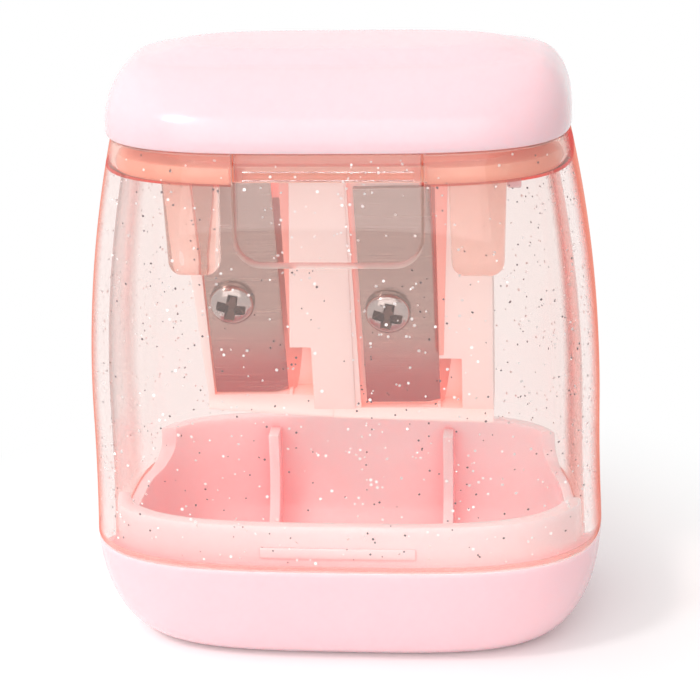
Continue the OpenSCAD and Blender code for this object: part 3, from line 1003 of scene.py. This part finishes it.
def make_screw(size):
    """A pan head screw with a cross recess, on its node's own axis."""
    node = "screw_" + size
    outward = Vector((0, -math.cos(lean), -math.sin(lean)))
    points = [v.co for v in frame["nodes"][node].data.vertices]
    deepest = min(p.dot(outward) for p in points)
    tail = [p for p in points if p.dot(outward) < deepest + 0.001 * MM]
    end = sum((Vector(p) for p in tail), Vector()) / len(tail) + seat_shift[size] * 1.2
    shank_l, shank_r, head_r, head_h, side_h = 5.6 * MM, 1.2 * MM, 2.35 * MM, 1.55 * MM, 0.15 * MM
    fullness, steps = 2.5, 18

    def head_top(across):
        """Height of the crowned head at a distance from its axis."""
        share = max(0, 1 - (across / head_r) ** fullness)
        return shank_l + side_h + (head_h - side_h) * share ** (1 / fullness)

    profile = [(0, 0), (shank_r, 0), (shank_r, shank_l), (head_r - 0.1 * MM, shank_l)]
    for i in range(steps):
        across = head_r * math.cos(math.pi / 2 * i / steps) ** (2 / fullness)
        profile.append((across, head_top(across)))
    profile.append((0, head_top(0)))
    screw = turned("plated_screw_" + size, profile)
    # each arm's half length, half width and height above the head's top, in millimetres
    arm_outlines = ((0.8, 0.3, -1.15), (1.45, 0.5, -0.35), (1.8, 0.62, 0.4))
    for turn in (-12, 78):
        arm = loft("recess", [
            round_box_ring(0, 0, half * MM, wide * MM, 0.12 * MM, shank_l + head_h + height * MM)
            for half, wide, height in arm_outlines])
        arm.data.transform(Matrix.Rotation(math.radians(turn), 4, "Z"))
        cut(screw, arm)
    soften(screw, 0.05 * MM, 2, 35)
    stand = Matrix.Translation(end) @ Vector((0, 0, 1)).rotation_difference(outward).to_matrix().to_4x4()
    screw.data.transform(stand)
    dress(smooth(screw, 30), plated, "screw_steel", "container", node)

    def in_recess(centre, normal):
        spot = stand.inverted() @ centre
        across = math.hypot(spot.x, spot.y)
        return across < 1.75 * MM and shank_l < spot.z < head_top(across) - 0.07 * MM

    # The recess faces take the darker steel: painted shade.
    refinish(screw, recess_painted_shade, in_recess)


make_block()
make_blade("small")
make_blade("large")
make_screw("small")
make_screw("large")


# ---------------------------------------------------------------- lid

lid_in_x = inset(body_top, body_taper_x) - lid_proud
lid_in_y = inset(body_top, body_taper_y) - lid_proud


def curve(start, near, far, end, t):
    """A cubic curve through its two ends."""
    u = 1 - t
    return u ** 3 * start + 3 * u * u * t * near + 3 * u * t * t * far + t ** 3 * end


def lid_rings(wall):
    """The dome's outlines from its side wall, over its shoulder and up its low crown, shrunk by a wall."""
    side_h, crown = 0.6 * MM, 1.1 * MM
    round_x, round_y, flat_x, flat_y = 3.4 * MM, 8 * MM, 6 * MM, 3.6 * MM
    in_x, in_y = lid_in_x + wall, lid_in_y + wall
    rise = lid_h - wall - crown - side_h
    start = lid_low + side_h
    shoulder = start + rise
    top = shoulder + crown
    rings = []
    for t in heights(0, 1, 22):
        x = curve(0, 0, 0.45 * round_x, round_x, t)
        y = curve(0, 0, 0.45 * round_y, round_y, t)
        z = curve(start, start + 0.55 * rise, shoulder - 0.42 * MM, shoulder, t)
        rings.append(ring(z, in_x + x, in_y + y))
    for t in heights(0, 1, 8)[1:]:
        z = curve(shoulder, shoulder + 0.4 * crown, top, top, t)
        rings.append(ring(z, in_x + round_x + flat_x * t, in_y + round_y + flat_y * t))
    return rings


def lid_barrel():
    """The hinge barrel with its two stub pins, and the arm that carries it."""
    y, z = lid_pivot.y, lid_pivot.z
    stub = barrel_half + ear_w
    barrel = rod("barrel", (-barrel_half, y, z), (barrel_half, y, z), hinge_r)
    cut(barrel, rod("pins", (-stub, y, z), (stub, y, z), pin_r), "UNION")
    arm_low = (-barrel_half, half_d - lid_in_y - lid_wall / 2, z + 0.3 * MM)
    arm_high = (barrel_half, y, z + 2.1 * MM)
    return cut(barrel, box_piece("arm", arm_low, arm_high), "UNION")


def lid_hook(side):
    near, far = sorted((side * hook_in, side * hook_out))
    hook = box_piece("hook", (near, hook_front, low("lid").z), (far, hook_back, lid_low + 3.4 * MM))
    return soften(hook, 0.25 * MM, 2)


def make_lid():
    edge = 0.2 * MM
    part = edge * EDGE_MIDDLE
    lower = [
        ring(lid_low, lid_in_x + edge, lid_in_y + edge),
        ring(lid_low + part, lid_in_x + part, lid_in_y + part),
        ring(lid_low + edge, lid_in_x, lid_in_y),
    ]
    lid = loft("pink_lid", lower + lid_rings(0))
    mouth = ring(lid_low - MM, lid_in_x + lid_wall, lid_in_y + lid_wall)
    cut(lid, loft("lid_hollow", [mouth] + lid_rings(lid_wall)))
    cut(lid, lid_barrel(), "UNION")
    for side in (-1, 1):
        cut(lid, lid_hook(side), "UNION")
    dress(smooth(lid), pink, "pink_plastic", "lid", "lid")


make_lid()


# ---------------------------------------------------------------- floor, light and camera

def make_floor():
    bm = bmesh.new()
    bmesh.ops.create_circle(bm, cap_ends=True, segments=96, radius=0.9)
    floor = new_piece(bm, "floor")
    made = finish("pale floor")
    away = made.node("VectorMath", {"operation": "LENGTH"}, {0: made.here()}, output="Value")
    far = made.node("MapRange", {"interpolation_type": "SMOOTHSTEP"},
                    {"Value": away, "From Min": 0.031, "From Max": 0.062})
    paper = made.node("BsdfDiffuse", values={"Color": (0.9, 0.9, 0.9)})
    looked_at = made.seen("Is Camera Ray", "Is Transmission Ray")
    mirrored = made.seen("Is Camera Ray", "Is Glossy Ray", "Is Transmission Ray")
    lift = made.node("Emission", values={"Color": (1, 1, 1), "Strength": looked_at * 0.07})
    near = made.node("AddShader", values={0: paper, 1: lift})
    white = made.node("Emission", values={"Color": (1, 1, 1), "Strength": mirrored * 0.4 + 0.6})
    surface(made, made.mixed(far, near, white))
    floor.data.materials.append(made.owner)


def make_world():
    """White to look at, and a soft wrap of light that is stronger from the left and from behind."""
    world = bpy.data.worlds.new("studio")
    bpy.context.scene.world = world
    made = Finish(world)
    towards = made.node("TexCoord", output="Generated")
    across, along, up = (made.node("SeparateXYZ", values={0: towards}, output=axis) for axis in "XYZ")
    wrap = 0.78 - across * 0.5 + along * 0.06 + up * 0.14
    looked_at = made.seen("Is Camera Ray", "Is Glossy Ray", "Is Transmission Ray")
    level = wrap * (1.0 - looked_at) + looked_at
    back = made.node("Background", values={"Color": (1, 1, 1), "Strength": level})
    made.node("OutputWorld", values={"Surface": back})


def softbox(name, stand, aim, size, watts):
    lamp = bpy.data.lights.new(name, "AREA")
    lamp.shape = "RECTANGLE"
    lamp.size, lamp.size_y = size
    lamp.energy = watts
    holder = bpy.data.objects.new(name, lamp)
    holder.location = stand
    holder.rotation_euler = (Vector(aim) - Vector(stand)).to_track_quat("-Z", "Y").to_euler()
    bpy.context.scene.collection.objects.link(holder)


def make_camera():
    """A camera a little above the object and to its right, with a small roll and shift."""
    yaw, rise, roll = (math.radians(a) for a in (5.85, 19.5, 1.69))
    target, distance = Vector((0, 0, 0.032)), 0.231
    back = Vector((math.sin(yaw) * math.cos(rise), -math.cos(yaw) * math.cos(rise), math.sin(rise)))
    lens = bpy.data.cameras.new("camera")
    lens.sensor_width = 36
    lens.lens = 114.14057
    lens.shift_x = 0.0041
    lens.shift_y = -0.03947143
    lens.clip_start = 0.01
    camera = bpy.data.objects.new("camera", lens)
    camera.location = target + back * distance
    turn = (-back).to_track_quat("-Z", "Y") @ Matrix.Rotation(-roll, 3, "Z").to_quaternion()
    camera.rotation_euler = turn.to_euler()
    bpy.context.scene.collection.objects.link(camera)
    bpy.context.scene.camera = camera


make_floor()
make_world()
middle = (0, 0, 0.03)
softbox("key light", (-0.42, -0.4, 0.6), middle, (0.13, 0.13), 1.5)
softbox("front light", (-0.04, -0.72, 0.36), middle, (1.0, 0.9), 3.2)
make_camera()

bpy.context.scene.view_settings.view_transform = "Standard"

bpy.context.view_layer.update()
